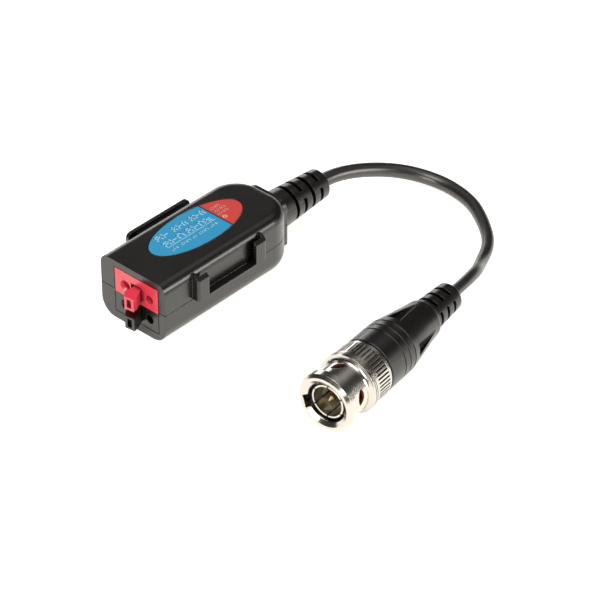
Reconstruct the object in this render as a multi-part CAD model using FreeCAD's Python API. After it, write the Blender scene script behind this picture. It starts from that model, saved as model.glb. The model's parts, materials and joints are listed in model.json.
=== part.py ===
import FreeCAD
import Part
import math
import os

# A passive video balun: a small two-part housing with a red and a black push-lever
# terminal at its front, and a thin coaxial lead with a BNC plug at its back.
# Millimetres. X is across the housing, +Y runs from the terminals to the lead,
# +Z is up. The origin is the centre of the housing's flat base.

# Housing
body_width = 20.5
body_length = 44.4
body_height = 16.3
seam_height = body_height / 2 + 0.15
nose_radius = 7.8
top_edge_radius = 2.5
base_edge_radius = 4.2
cavity_base_radius = 2.2
shell_wall = 1.5
front_wall = 1.3
seam_groove_height = 0.16
seam_groove_depth = 0.14
lip_height = 0.8
lip_thickness = 0.6
lip_clearance = 0.1
rear_wall = 3.5
pad_width = 12.2
pad_bottom = 2.65
pad_height = 12.35
pad_corner_radius = 2.6
pad_proud = 0.8
pad_depth = 5.1
peg_radius = 0.8
peg_height = 1.6
peg_boss_radius = 1.5
peg_clearance = 0.05
peg_inset = 1.7

# Coupling rail on the left wall and channel on the right wall
rail_start = 10.1
rail_length = 20.2
rail_proud = 2.0
rail_plate = 0.9
rail_neck_inset = 2.9
rail_corner_radius = 1.3
coupler_top = 15.2
coupler_floor = 0.5
channel_clearance = 0.3
channel_wall = 0.9
channel_lip = 0.85
channel_lip_clearance = 0.3
channel_corner_radius = 0.7
channel_bevel = 1.3

# Label recess on the top
label_length = 28.4
label_width = 12.2
label_centre_x = -1.1
label_centre_from_front = 21.9
label_thickness = 0.15
label_recess = 0.2
label_clearance = 0.15

# Terminal block: two push-lever poles, one above the other
block_left = -5.7
block_width = 13.7
block_depth = 12.0
block_clearance = 0.2
block_bottom = 2.35
block_top_margin = 1.85
end_plate = 1.2
pole_pitch = (body_height - block_bottom - block_top_margin - end_plate) / 2
pole_half_height = pole_pitch / 2
lower_pole_height = block_bottom + pole_half_height
wire_from_left = 3.35
wire_bore_radius = 1.2
wire_mouth_radius = 1.6
wire_mouth_depth = 0.8
test_from_left = 11.0
test_bore_radius = 1.15
test_bore_depth = 5.0
slot_from_left = 5.15
slot_width = 3.35
slot_height = pole_pitch - 1.55
chamber_start = 6.3
chamber_left_wall = 1.4
chamber_right_wall = 1.2

# Push lever
lever_height = slot_height - 0.5
lever_root_width = 1.95
lever_root_right_gap = 0.25
lever_pivot_depth = 4.6
lever_hub_radius = 1.4
lever_reach = 4.2
lever_end_lean = 1.38
lever_end_width = 2.65
lever_end_tilt = 7.0
lever_head_depth = 1.2
lever_pocket_width = 1.25
lever_pocket_height = 2.3
lever_pocket_depth = 1.0
lever_finger_length = 3.65
lever_finger_width = 0.8
trunnion_radius = 0.6
trunnion_clearance = 0.05
trunnion_length = 0.35

# Contact and clamp spring in each pole
contact_thickness = 0.4
contact_height = slot_height - 0.7
tail_width = 0.8
tail_clearance = 0.15
tail_from_front = 8.4
tail_beyond_board = 0.8
spring_thickness = 0.3
spring_knee_reach = 3.4
spring_tip_beyond_finger = 2.35

# Circuit board and its parts
board_thickness = 1.6
board_length = 30.0
board_lift = 3.1
board_top_margin = 2.2
board_height = body_height - board_lift - board_top_margin
board_from_front = 2.2
board_hole_clearance = 0.15
board_rib_clearance = 0.1
board_rib_length = 1.6
board_rib_thickness = 0.9
board_rib_height = 2.6
diode_radius = 1.1
diode_length = 3.8
diode_behind_block = 3.2
diode_from_front = block_depth + diode_behind_block
core_radius = 4.5
core_bore_radius = 2.2
core_thickness = 3.6
core_behind_diodes = 7.7
core_from_front = diode_from_front + core_behind_diodes
core_stand_off = 0.6
turn_count = 12
turn_wire = 0.4
turn_gap = 0.03
lead_radius = 0.25
lead_clearance = 0.1
capacitor_radius = 2.3
capacitor_thickness = 1.5
capacitor_behind_core = 6.0
capacitor_from_front = core_from_front + capacitor_behind_core

# Lead and its strain relief on the housing
cable_radius = 1.6
cable_bore_clearance = 0.05
cable_core_radius = 0.7
relief_hole_clearance = 0.08
relief_neck_radius = 3.2
relief_flange_radius = 4.6
relief_flange = 1.5
relief_root_radius = 5.0
relief_end_radius = 3.8
relief_length = 18.1
relief_slot_count = 4
relief_first_slot = 5.1
relief_slot_pitch = 3.05
relief_slot_width = 1.1
relief_core_radius = 2.4
jacket_inside = 6.0
core_inside = 2.4

# BNC plug: stations are distances back from the nut's front face
plug_x = 56.93
plug_from_front = 1.7
plug_angle = 6.2
ridge_radius = 7.45
nut_front_radius = 7.3
nut_front_chamfer = 0.7
nut_front_width = 2.75
nut_neck_radius = 6.3
nut_neck_end = 7.8
nut_flare = 0.95
knurl_start = 11.05
ridge_end = 10.4
ridge_count = 3
ridge_groove = 0.35
knurl_radius = 7.15
knurl_end = 15.0
knurl_count = 48
knurl_depth = 0.45
nut_rear_radius = 7.0
nut_length = 16.1
nut_bore_radius = 4.95
nut_mouth_radius = 5.9
nut_groove_start = 4.3
nut_groove_radius = 5.6
keyway_width = 3.2
keyway_radius = 5.75
keyway_angle = 17.0
window_width = 1.9
window_places = (
    (98.0, 6.4, 3.8, 50.0),
    (278.0, 6.4, 3.8, 50.0),
    (13.0, 5.3, 3.9, -20.0),
    (193.0, 5.3, 3.9, -20.0),
)
keyway_end = 4.0
nut_chamber_radius = 6.1
nut_chamber_start = 8.6
nut_lip_start = 11.95
contact_outer_radius = 4.3
contact_inner_radius = 3.75
contact_front = 1.2
contact_slit_count = 6
contact_slit_width = 0.35
contact_slit_end = 7.5
plug_flange_front = 9.0
plug_flange_rear = 10.2
plug_flange_radius = 5.8
plug_tube_radius = 5.0
plug_tube_end = 21.0
nut_running_clearance = 0.08
plug_bore_radius = 3.0
crimp_barrel_radius = 2.1
crimp_barrel_end = 26.0
insulator_front = 6.2
insulator_nose_radius = 1.6
insulator_nose = 2.4
pin_radius = 0.68
pin_front = 1.7
pin_rear = 19.5
gasket_front = 4.8
gasket_radius = 5.3
gasket_bore_clearance = 0.1
washer_thickness = 0.25
washer_bow = 0.45
thrust_ring_thickness = 0.5
thrust_ring_radius = 5.9
thrust_ring_gap = 30.0
ferrule_radius = 2.7
ferrule_start = 21.6
boot_clearance = 0.2
boot_front_radius = 7.0
boot_taper = ((20.3, 7.0), (22.3, 6.98), (24.3, 6.93), (26.4, 6.75), (28.5, 6.4), (31.9, 5.8),
              (34.5, 5.3), (37.0, 4.9))
boot_end = 38.8
boot_end_radius = 4.3
boot_groove_stations = (21.3, 23.3, 25.3)
boot_groove = 0.4
boot_groove_reach = 1.0
boot_scoop_count = 4
boot_scoop_front = 27.3
boot_scoop_rear = 36.1
boot_scoop_width = 3.6
boot_scoop_tip = 0.5
boot_scoop_depth = 2.2
boot_scoop_turn = 8.0
tail_root_radius = 4.1
tail_tip_radius = 3.5
plug_tail_end = 49.3
tail_slot_count = 3
tail_slot_pitch = 2.8
tail_slot_width = 1.0
tail_first_slot = 1.0
tail_core_radius = 2.3
tail_bridge = 1.6
tail_bridge_turn = 43.0
jacket_in_boot = 19.0

# The route of the lead: straight runs out of the two strain reliefs, and the corners between
relief_exit_run = 6.2
plug_exit_run = 10.1
route_corners = [
    (5.2, 61.8, 4.5),
    (14.3, 68.8, 1.6),
    (25.1, 67.7, 1.6),
    (32.9, 63.3, 1.6),
    (40.4, 56.9, 1.6),
    (44.0, 48.9, 1.6),
]

front_y = -body_length / 2
up = FreeCAD.Vector(0, 0, 1)
back = FreeCAD.Vector(0, 1, 0)
right = FreeCAD.Vector(1, 0, 0)


def point(x, y, z):
    return FreeCAD.Vector(x, y, z)


def box(x0, x1, y0, y1, z0, z1):
    """A box between two corners."""
    return Part.makeBox(x1 - x0, y1 - y0, z1 - z0, point(x0, y0, z0))


def cylinder(radius, start, direction, length):
    return Part.makeCylinder(radius, length, start, direction)


def prism(corners, z0, z1):
    """A straight-sided outline in plan, pulled up from z0 to z1."""
    loop = [point(x, y, z0) for x, y in corners]
    face = Part.Face(Part.makePolygon(loop + loop[:1]))
    return face.extrude(point(0, 0, z1 - z0))


def turned(profile):
    """A profile of (station, radius) pairs turned about the Y axis."""
    loop = [point(radius, station, 0) for station, radius in profile]
    face = Part.Face(Part.makePolygon(loop + loop[:1]))
    return face.revolve(point(0, 0, 0), back, 360)


def strip(path, thickness, z0, z1):
    """A bent strip of sheet metal: straight legs with round bends, standing on edge."""
    pieces = []
    for (ax, ay), (bx, by) in zip(path, path[1:]):
        length = math.hypot(bx - ax, by - ay)
        side_x = (ay - by) / length * thickness / 2
        side_y = (bx - ax) / length * thickness / 2
        corners = [(ax + side_x, ay + side_y), (bx + side_x, by + side_y),
                   (bx - side_x, by - side_y), (ax - side_x, ay - side_y)]
        pieces.append(prism(corners, z0, z1))
    for x, y in path[1:-1]:
        pieces.append(cylinder(thickness / 2, point(x, y, z0), up, z1 - z0))
    return pieces[0].fuse(pieces[1:]).removeSplitter()


def plan_outline(inset, front, flat_end, z):
    """The housing's outline in plan, set in by inset: straight sides, round corners, flat end."""
    half = body_width / 2 - inset
    radius = nose_radius - inset
    centre_x = body_width / 2 - nose_radius
    centre_y = front_y + body_length - nose_radius
    end_y = centre_y + radius if flat_end is None else flat_end
    turn = math.asin(min(1.0, (end_y - centre_y) / radius))
    middle = (centre_x + radius * math.cos(turn / 2), centre_y + radius * math.sin(turn / 2))
    end_x = centre_x + radius * math.cos(turn)
    edges = [
        Part.makeLine(point(half, front, z), point(half, centre_y, z)),
        Part.Arc(point(half, centre_y, z), point(middle[0], middle[1], z),
                 point(end_x, end_y, z)).toShape(),
        Part.makeLine(point(end_x, end_y, z), point(-end_x, end_y, z)),
        Part.Arc(point(-end_x, end_y, z), point(-middle[0], middle[1], z),
                 point(-half, centre_y, z)).toShape(),
        Part.makeLine(point(-half, centre_y, z), point(-half, front, z)),
        Part.makeLine(point(-half, front, z), point(half, front, z)),
    ]
    return Part.Wire(edges)


def level_edges(shape, z, beyond_y):
    """Edges that lie flat at height z, apart from those on the front face."""
    found = []
    for edge in shape.Edges:
        span = edge.BoundBox
        if abs(span.ZMin - z) < 1e-4 and abs(span.ZMax - z) < 1e-4 and span.YMax > beyond_y + 0.1:
            found.append(edge)
    return found


def rounded_body(inset, front, flat_end, z0, z1, top_radius, base_radius):
    face = Part.Face(plan_outline(inset, front, flat_end, z0))
    body = face.extrude(point(0, 0, z1 - z0))
    body = body.makeFillet(top_radius, level_edges(body, z1, front))
    return body.makeFillet(base_radius, level_edges(body, z0, front))


def build_coupling_rail():
    """The T-rail on the left wall: a neck and a wider plate, both above the seam."""
    wall_x = -body_width / 2
    y0 = front_y + rail_start
    z0 = seam_height + seam_groove_height + coupler_floor
    outer_x = wall_x - rail_proud
    plate = box(outer_x, outer_x + rail_plate, y0, y0 + rail_length, z0, coupler_top)
    corners = [e for e in plate.Edges
               if abs(e.BoundBox.YLength) < 1e-6 and abs(e.BoundBox.ZLength) < 1e-6
               and e.BoundBox.ZMax > coupler_top - 1e-4]
    plate = plate.makeFillet(rail_corner_radius, corners)
    neck = box(outer_x + rail_plate / 2, wall_x + shell_wall * 0.6, y0 + rail_neck_inset,
               y0 + rail_length - rail_neck_inset, z0, coupler_top - rail_corner_radius / 2)
    return plate.fuse(neck)


def build_coupling_channel():
    """Two posts with lips and a floor on the right wall, which take a neighbour's rail."""
    wall_x = body_width / 2
    root_x = wall_x - shell_wall * 0.6
    outer_x = wall_x + rail_proud
    inner_y0 = front_y + rail_start - channel_clearance
    inner_y1 = inner_y0 + rail_length + 2 * channel_clearance
    lip_reach = rail_neck_inset - channel_lip_clearance
    z0 = seam_height + seam_groove_height
    posts = []
    for y_wall, side in ((inner_y0, 1), (inner_y1, -1)):
        outer_y = y_wall - side * channel_wall
        corners = [(root_x, outer_y), (outer_x, outer_y),
                   (outer_x, y_wall + side * lip_reach), (outer_x - channel_lip, y_wall + side * lip_reach),
                   (outer_x - channel_lip, y_wall), (root_x, y_wall)]
        post = prism(corners, z0, coupler_top)
        rounded = [e for e in post.Edges
                   if e.BoundBox.ZLength > 1 and abs(e.BoundBox.XMax - outer_x) < 1e-4
                   and abs(e.BoundBox.YMax - outer_y) < 1e-4]
        post = post.makeFillet(channel_corner_radius, rounded)
        wedge = [(outer_x - channel_bevel, coupler_top), (outer_x + 1, coupler_top),
                 (outer_x + 1, coupler_top - channel_bevel - 1)]
        loop = [point(x, min(outer_y, y_wall + side * lip_reach) - 1, z) for x, z in wedge]
        bevel = Part.Face(Part.makePolygon(loop + loop[:1])).extrude(point(0, channel_wall + lip_reach + 2, 0))
        posts.append(post.cut(bevel))
    floor = box(root_x, outer_x, inner_y0 - channel_wall / 2, inner_y1 + channel_wall / 2,
                z0, z0 + coupler_floor)
    return posts[0].fuse([posts[1], floor])


def label_ellipse(grow, z0, z1):
    centre = point(label_centre_x, front_y + label_centre_from_front, z0)
    curve = Part.Ellipse(centre + point(0, label_length / 2 + grow, 0),
                         centre + point(label_width / 2 + grow, 0, 0), centre)
    return Part.Face(Part.Wire(curve.toShape())).extrude(point(0, 0, z1 - z0))


def peg_places():
    """Four locating pegs near the housing's corners, clear of the board and the block."""
    x = body_width / 2 - shell_wall - peg_inset
    return [(x + peg_inset * 0.05, front_y + block_depth + 4.0),
            (x + peg_inset * 0.05, front_y + body_length - nose_radius),
            (-x, front_y + board_from_front + board_length + peg_boss_radius + 0.6)]


def board_face_x():
    return block_left


def board_span():
    y0 = front_y + board_from_front
    return y0, y0 + board_length


def build_pad():
    """The flat pad behind the nose that carries the strain relief, with round top corners."""
    nose_tip = front_y + body_length
    pad = box(-pad_width / 2, pad_width / 2, nose_tip - pad_depth, nose_tip + pad_proud,
              pad_bottom, pad_bottom + pad_height)
    corners = [e for e in pad.Edges if e.BoundBox.YLength > 1 and e.BoundBox.ZMin > pad_bottom + 1]
    return pad.makeFillet(pad_corner_radius, corners)


def build_shell_solid():
    """Both halves of the housing as one hollow solid, before it is split at the seam."""
    outer = rounded_body(0, front_y, None, 0, body_height, top_edge_radius, base_edge_radius)
    nose_tip = front_y + body_length
    outer = outer.fuse(build_pad())
    cavity_end = nose_tip + pad_proud - rear_wall - 0.8
    cavity = rounded_body(shell_wall, front_y + front_wall, cavity_end, shell_wall,
                          body_height - shell_wall, top_edge_radius - shell_wall,
                          cavity_base_radius)
    shell = outer.cut(cavity)
    low, high = block_heights()
    opening = box(block_left - block_clearance, block_left + block_width + block_clearance,
                  front_y - 1, front_y + front_wall + 0.5, low - block_clearance, high + block_clearance)
    hole = cylinder(relief_neck_radius + relief_hole_clearance,
                    point(0, cavity_end - 1, seam_height), back, rear_wall + 4)
    groove_outer = box(-body_width, body_width, front_y - 1, nose_tip + pad_proud + 1,
                       seam_height, seam_height + seam_groove_height)
    inside = Part.Face(plan_outline(seam_groove_depth, front_y + seam_groove_depth, None,
                                    seam_height)).extrude(point(0, 0, seam_groove_height))
    inside_pad = box(-pad_width / 2 + seam_groove_depth, pad_width / 2 - seam_groove_depth,
                     nose_tip - pad_depth, nose_tip + pad_proud - seam_groove_depth,
                     seam_height, seam_height + seam_groove_height)
    groove = groove_outer.cut(inside).cut(inside_pad)
    return shell.cut(opening).cut(hole).cut(groove)


def seam_lip(clearance, extra_height):
    """The lip inside the lower half's rim, or the room for it in the upper half."""
    inner = shell_wall + clearance
    outer = shell_wall - lip_thickness - clearance
    cavity_end = front_y + body_length + pad_proud - rear_wall - 0.8
    height = lip_height + extra_height
    ring_outer = Part.Face(plan_outline(outer, front_y + front_wall, cavity_end,
                                        seam_height)).extrude(point(0, 0, height))
    ring_inner = Part.Face(plan_outline(inner, front_y, cavity_end + 0.4,
                                        seam_height)).extrude(point(0, 0, height))
    return ring_outer.cut(ring_inner)


def board_ribs(z_wall, toward):
    """Pairs of ribs that grip one long edge of the board. toward is +1 from the floor."""
    face_x = board_face_x()
    y0, y1 = board_span()
    ribs = []
    for y in (y0 + block_depth + 3.0, y1 - 2 * board_rib_length):
        for x in (face_x + board_rib_clearance,
                  face_x - board_thickness - board_rib_clearance - board_rib_thickness):
            z_start = z_wall - toward * shell_wall / 2
            z_end = z_wall + toward * board_rib_height
            ribs.append(box(x, x + board_rib_thickness, y, y + board_rib_length,
                            min(z_start, z_end), max(z_start, z_end)))
    return ribs


def build_shells():
    shell = build_shell_solid()
    reach = body_width * 2
    below = box(-reach, reach, front_y - reach, front_y + body_length + reach, -1, seam_height)
    above = box(-reach, reach, front_y - reach, front_y + body_length + reach,
                seam_height, body_height + 1)
    lower = shell.common(below)
    upper = shell.common(above)
    lower = lower.fuse(seam_lip(0, 0))
    lower = lower.fuse(board_ribs(shell_wall, 1))
    pegs = []
    sockets = []
    bosses = []
    for x, y in peg_places():
        pegs.append(cylinder(peg_boss_radius, point(x, y, shell_wall / 2), up, seam_height - shell_wall / 2))
        pegs.append(cylinder(peg_radius, point(x, y, seam_height - 1), up, 1 + peg_height))
        bosses.append(cylinder(peg_boss_radius, point(x, y, seam_height), up,
                               body_height - shell_wall / 2 - seam_height))
        sockets.append(cylinder(peg_radius + peg_clearance, point(x, y, seam_height - 1), up,
                                peg_height + 1.3))
    lower = lower.fuse(pegs)
    upper = upper.fuse(bosses + board_ribs(body_height - shell_wall, -1))
    upper = upper.cut(seam_lip(lip_clearance, lip_clearance).fuse(sockets))
    upper = upper.fuse([build_coupling_rail(), build_coupling_channel()])
    recess = label_ellipse(label_clearance, body_height - label_recess, body_height + 1)
    return upper.cut(recess).removeSplitter(), lower.removeSplitter()


def block_heights():
    low = lower_pole_height - pole_half_height
    high = lower_pole_height + pole_pitch + pole_half_height + end_plate
    return low, high


def pole_height(index):
    return lower_pole_height + index * pole_pitch


def pivot_place():
    """The lever's pivot in plan, in line with the root of its arm."""
    slot_right = block_left + slot_from_left + slot_width
    root_right = slot_right - lever_root_right_gap
    return root_right - lever_root_width / 2 - 0.35, front_y + lever_pivot_depth


def build_terminal(index):
    """One pole's housing: a block with its wire mouth, lever slot, test hole and chamber."""
    low, high = block_heights()
    middle = lower_pole_height + pole_pitch / 2
    z0, z1 = (low, middle) if index == 0 else (middle, high)
    z = pole_height(index)
    slot_x0 = block_left + slot_from_left
    slot_x1 = slot_x0 + slot_width
    chamber_x0 = block_left + chamber_left_wall
    chamber_x1 = block_left + block_width - chamber_right_wall
    wire_x = block_left + wire_from_left
    pivot_x, pivot_y = pivot_place()
    block = box(block_left, block_left + block_width, front_y, front_y + block_depth, z0, z1)
    bore = cylinder(wire_bore_radius, point(wire_x, front_y, z), back, chamber_start + 1)
    mouth = Part.makeCone(wire_mouth_radius, wire_bore_radius, wire_mouth_depth,
                          point(wire_x, front_y, z), back)
    test = cylinder(test_bore_radius, point(block_left + test_from_left, front_y, z), back,
                    test_bore_depth)
    slot = box(slot_x0, slot_x1, front_y - 1, front_y + chamber_start + 1,
               z - slot_height / 2, z + slot_height / 2)
    chamber = box(chamber_x0, chamber_x1, front_y + chamber_start, front_y + block_depth + 1,
                  z - slot_height / 2, z + slot_height / 2)
    socket_reach = slot_height / 2 + trunnion_length + trunnion_clearance
    sockets = cylinder(trunnion_radius + trunnion_clearance,
                       point(pivot_x, pivot_y, z - socket_reach), up, 2 * socket_reach)
    tail_y = front_y + tail_from_front
    half = tail_width / 2 + tail_clearance
    tail = box(block_left - 1, chamber_x0 + 1, tail_y - half, tail_y + half, z - half, z + half)
    return block.cut([bore, mouth, test, slot, chamber, sockets, tail])


def build_lever(index):
    """A push lever: arm with a turned-out head, hub with trunnions, and a finger inside."""
    z = pole_height(index)
    pivot_x, pivot_y = pivot_place()
    slot_right = block_left + slot_from_left + slot_width
    root_x1 = slot_right - lever_root_right_gap
    root_x0 = root_x1 - lever_root_width
    tilt = math.radians(lever_end_tilt)
    end_x = (root_x0 + root_x1) / 2 + lever_end_lean
    end_y = front_y - lever_reach
    half_x = lever_end_width / 2 * math.cos(tilt)
    half_y = lever_end_width / 2 * math.sin(tilt)
    outline = [
        (root_x1, pivot_y),
        (root_x1, front_y + 0.4),
        (end_x + half_x - 0.15, end_y + half_y + lever_head_depth),
        (end_x + half_x, end_y + half_y),
        (end_x - half_x, end_y - half_y),
        (root_x0, end_y + lever_head_depth),
        (root_x0, front_y + 0.4),
        (pivot_x - lever_hub_radius * 0.8, pivot_y),
    ]
    z0 = z - lever_height / 2
    z1 = z + lever_height / 2
    arm = prism(outline, z0, z1)
    hub = cylinder(lever_hub_radius, point(pivot_x, pivot_y, z0), up, lever_height)
    pin_reach = slot_height / 2 + trunnion_length
    trunnions = cylinder(trunnion_radius, point(pivot_x, pivot_y, z - pin_reach), up, 2 * pin_reach)
    finger_x = pivot_x - lever_hub_radius * 0.8
    finger = box(finger_x, finger_x + lever_finger_width, pivot_y, pivot_y + lever_finger_length, z0, z1)
    pocket = box(end_x - lever_pocket_width / 2, end_x + lever_pocket_width / 2,
                 end_y - 1, end_y + lever_pocket_depth,
                 z - lever_pocket_height / 2, z + lever_pocket_height / 2)
    pocket.rotate(point(end_x, end_y, z), up, lever_end_tilt)
    return arm.fuse([hub, trunnions, finger]).cut(pocket).removeSplitter()


def build_contact(index):
    """A tinned strip along the chamber's left wall, with a tail through the board."""
    z = pole_height(index)
    plate_x = block_left + chamber_left_wall + contact_thickness / 2 + 0.05
    y0 = front_y + chamber_start + 0.2
    y1 = front_y + block_depth - 0.4
    foot = (plate_x + 1.6, y1)
    plate = strip([(plate_x, y0), (plate_x, y1), foot], contact_thickness,
                  z - contact_height / 2, z + contact_height / 2)
    tail_y = front_y + tail_from_front
    half = tail_width / 2
    tail = box(board_face_x() - board_thickness - tail_beyond_board, plate_x,
               tail_y - half, tail_y + half, z - half, z + half)
    return plate.fuse(tail).removeSplitter()


def build_clamp_spring(index):
    """The leaf spring that grips the wire: one leg on the chamber wall, one leg free."""
    z = pole_height(index)
    wall_x = block_left + block_width - chamber_right_wall - spring_thickness / 2 - 0.05
    tip_x = block_left + chamber_left_wall + contact_thickness + 0.7
    y_front = front_y + chamber_start + 0.55
    pivot_x, pivot_y = pivot_place()
    finger_right = pivot_x - lever_hub_radius * 0.8 + lever_finger_width
    knee = (finger_right + spring_knee_reach, y_front)
    path = [(wall_x, front_y + block_depth - 0.5), (wall_x, y_front), knee,
            (tip_x, pivot_y + lever_finger_length + spring_tip_beyond_finger)]
    return strip(path, spring_thickness, z - contact_height / 2, z + contact_height / 2)


def build_board():
    """The board stands on its long edge along the left wall, with holes for each lead."""
    x1 = board_face_x()
    x0 = x1 - board_thickness
    y0, y1 = board_span()
    board = box(x0, x1, y0, y1, board_lift, board_lift + board_height)
    cuts = []
    half = tail_width / 2 + board_hole_clearance
    for index in range(2):
        y = front_y + tail_from_front
        z = pole_height(index)
        cuts.append(box(x0 - 1, x1 + 1, y - half, y + half, z - half, z + half))
    for y, z in lead_places():
        cuts.append(cylinder(lead_radius + lead_clearance, point(x0 - 1, y, z), right, board_thickness + 2))
    return board.cut(cuts)


def board_middle():
    return board_lift + board_height / 2


def lead_places():
    """Where the leads of the diodes, the capacitor and the lead's core pass the board."""
    y_diode = front_y + diode_from_front
    y_cap = front_y + capacitor_from_front
    z = board_middle()
    places = []
    for y in (y_diode - diode_radius - 0.4, y_diode + diode_radius + 0.4):
        places += [(y, z - diode_length / 2 - 0.9), (y, z + diode_length / 2 + 0.9)]
    places += [(y_cap, z - 1.3), (y_cap, z + 1.3)]
    return places


def build_core():
    """The ferrite ring of the transformer, flat against the board."""
    y = front_y + core_from_front
    x0 = board_face_x() + core_stand_off
    ring = cylinder(core_radius, point(x0, y, board_middle()), right, core_thickness)
    return ring.cut(cylinder(core_bore_radius, point(x0 - 1, y, board_middle()), right, core_thickness + 2))


def build_winding():
    """Turns of enamelled wire round the ferrite ring, spaced evenly, as one group."""
    y = front_y + core_from_front
    x0 = board_face_x() + core_stand_off
    z = board_middle()
    turns = []
    for number in range(turn_count):
        r0 = core_bore_radius - turn_gap
        r1 = core_radius + turn_gap
        hole = box(x0 - turn_gap, x0 + core_thickness + turn_gap, y - turn_wire, y + turn_wire,
                   z + r0 - 0.05, z + r1)
        loop = box(x0 - turn_gap - turn_wire, x0 + core_thickness + turn_gap + turn_wire,
                   y - turn_wire / 2, y + turn_wire / 2, z + r0 - turn_wire, z + r1 + turn_wire)
        turn = loop.cut(hole)
        turn.rotate(point(x0, y, z), right, 360 * (number + 0.5) / turn_count)
        turns.append(turn)
    return Part.makeCompound(turns)


def build_diodes():
    """Two glass-bodied surge diodes, each with its leads bent back through the board."""
    z = board_middle()
    bodies = []
    for y in (lead_places()[0][0], lead_places()[2][0]):
        x = board_face_x() + diode_radius + 0.25
        body = cylinder(diode_radius, point(x, y, z - diode_length / 2), up, diode_length)
        reach = diode_length / 2 + 0.9
        wire = cylinder(lead_radius, point(x, y, z - reach), up, 2 * reach)
        parts = [wire]
        for end in (z - reach, z + reach):
            parts.append(Part.makeSphere(lead_radius, point(x, y, end)))
            parts.append(cylinder(lead_radius, point(x, y, end), right * -1,
                                  x - board_face_x() + board_thickness + 0.5))
        bodies.append(body.fuse(parts))
    return Part.makeCompound(bodies)


def build_capacitor():
    """A disc capacitor on two short leads."""
    y = front_y + capacitor_from_front
    z = board_middle()
    x = board_face_x() + capacitor_radius + 0.6
    disc = cylinder(capacitor_radius, point(x, y - capacitor_thickness / 2, z), back, capacitor_thickness)
    disc = disc.makeFillet(capacitor_thickness * 0.35, disc.Edges)
    legs = []
    for _, leg_z in lead_places()[-2:]:
        legs.append(cylinder(lead_radius, point(x - 0.8, y, leg_z), right * -1,
                             x - 0.8 - board_face_x() + board_thickness + 0.5))
    return disc.fuse(legs)


def relief_start():
    return front_y + body_length + pad_proud


def build_strain_relief():
    """A tapered rubber sleeve with rings of slots, held in the housing by its flange."""
    start = relief_start()
    cavity_end = start - rear_wall - 0.8
    end = start + relief_length
    profile = [
        (cavity_end - relief_flange, 0), (cavity_end - relief_flange, relief_flange_radius),
        (cavity_end, relief_flange_radius), (cavity_end, relief_neck_radius),
        (start, relief_neck_radius), (start, relief_root_radius),
        (end - 0.5, relief_end_radius), (end, relief_end_radius - 0.5), (end, 0),
    ]
    sleeve = turned(profile)
    cuts = []
    for number in range(relief_slot_count):
        y0 = start + relief_first_slot + number * relief_slot_pitch
        disc = cylinder(relief_root_radius + 1, point(0, y0, 0), back, relief_slot_width)
        disc = disc.cut(cylinder(relief_core_radius, point(0, y0 - 1, 0), back, relief_slot_width + 2))
        bridge = box(-0.9, 0.9, y0 - 1, y0 + relief_slot_width + 1,
                     -relief_root_radius - 1, relief_root_radius + 1)
        bridge.rotate(point(0, 0, 0), back, 50 if number % 2 else -40)
        cuts.append(disc.cut(bridge))
    cuts.append(cylinder(cable_radius + cable_bore_clearance, point(0, cavity_end - relief_flange - 1, 0),
                         back, relief_length + rear_wall + relief_flange + 3))
    sleeve = sleeve.cut(cuts)
    sleeve.translate(point(0, 0, seam_height))
    return sleeve


def relief_end_place():
    return point(0, relief_start() + relief_length, seam_height)


def plug_direction():
    """From the nut's front face towards the boot."""
    angle = math.radians(plug_angle)
    return point(-math.sin(angle), math.cos(angle), 0)


def plug_point(station):
    origin = point(plug_x, front_y + plug_from_front, ridge_radius)
    return origin + plug_direction() * station


def place_plug(shape):
    """From the plug's own frame, with stations along Y, to its place on the surface."""
    shape.rotate(point(0, 0, 0), up, plug_angle)
    shape.translate(plug_point(0))
    return shape


def route_points():
    start = relief_end_place()
    middle = [point(*corner) for corner in route_corners]
    return ([start, start + back * relief_exit_run] + middle
            + [plug_point(plug_tail_end + plug_exit_run), plug_point(plug_tail_end)])


def build_cable():
    """The lead as straight runs joined by tangent arcs, each as large as its runs allow."""
    corners = route_points()
    edges = []
    radii = []
    here = corners[0]
    for before, corner, after in zip(corners, corners[1:], corners[2:]):
        run_in = (corner - before).Length
        run_out = (after - corner).Length
        way_in = (corner - before).normalize()
        way_out = (after - corner).normalize()
        turn = way_in.getAngle(way_out)
        reach = 0.45 * min(run_in, run_out)
        radius = reach / math.tan(turn / 2)
        radii.append(radius)
        start = corner - way_in * reach
        end = corner + way_out * reach
        inward = (way_out - way_in).normalize()
        middle = corner + inward * (radius / math.cos(turn / 2) - radius)
        edges.append(Part.makeLine(here, start))
        edges.append(Part.Arc(start, middle, end).toShape())
        here = end
    edges.append(Part.makeLine(here, corners[-1]))
    path = Part.Wire(edges)
    section = Part.Wire(Part.Circle(corners[0], (corners[1] - corners[0]).normalize(), cable_radius).toShape())
    tube = path.makePipeShell([section], True, False)
    print("lead length", round(path.Length, 2), "arc radii", [round(r, 1) for r in radii])
    print("lead volume", round(tube.Volume, 2), "section times length",
          round(math.pi * cable_radius ** 2 * path.Length, 2))
    return tube


def build_housing_jacket():
    """The lead's end inside the housing: jacket in the relief, then the bare core."""
    end = relief_end_place()
    flange_front = relief_start() - rear_wall - 0.8 - relief_flange
    jacket_start = flange_front - jacket_inside
    jacket = cylinder(cable_radius, point(0, jacket_start, seam_height), back, end.y - jacket_start)
    return jacket


def build_core_tail():
    """The bare core, from the jacket's end to the back edge of the board."""
    flange_front = relief_start() - rear_wall - 0.8 - relief_flange
    jacket_start = flange_front - jacket_inside
    length = core_inside
    core = cylinder(cable_core_radius, point(0, jacket_start - length, seam_height), back, length)
    bead = Part.makeSphere(cable_core_radius, point(0, jacket_start - length, seam_height))
    wire = cylinder(lead_radius, point(0, jacket_start - length, seam_height), right * -1,
                    -board_face_x())
    return core.fuse([bead, wire])


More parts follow.
